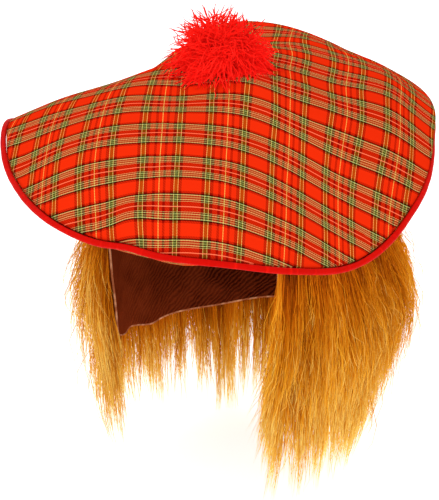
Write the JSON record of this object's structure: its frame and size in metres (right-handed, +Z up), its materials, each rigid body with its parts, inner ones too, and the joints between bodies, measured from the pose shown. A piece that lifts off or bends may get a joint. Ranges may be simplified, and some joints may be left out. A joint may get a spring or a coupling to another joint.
{
  "type": "tam o shanter with attached hair",
  "caption": "Round draped tartan cap with satin rim piping and a yarn pompom, and a skirt of long hair that hangs from its head opening round the sides and back.",
  "frame": {"origin": "centre of the head opening, where the hat sits on a head", "axes": "+Z up, -Y towards the face opening (the front), +X towards the wearer's left"},
  "size_m": [0.2969, 0.3273, 0.3507],
  "materials": {
    "tartan_crown": "woven tartan, matte",
    "tartan_underside": "woven tartan, matte",
    "satin_piping": "satin",
    "fleece_backing": "knitted fleece, matte",
    "ginger_hair": "long glossy fibre",
    "yarn": "crinkled yarn, matte"
  },
  "bodies": {
    "root": {"crown": "tartan_crown", "under_brim": "tartan_underside", "rim_piping": "satin_piping", "hair_backing": "fleece_backing", "hair": "ginger_hair", "pompom": "yarn"}
  },
  "joints": []
}
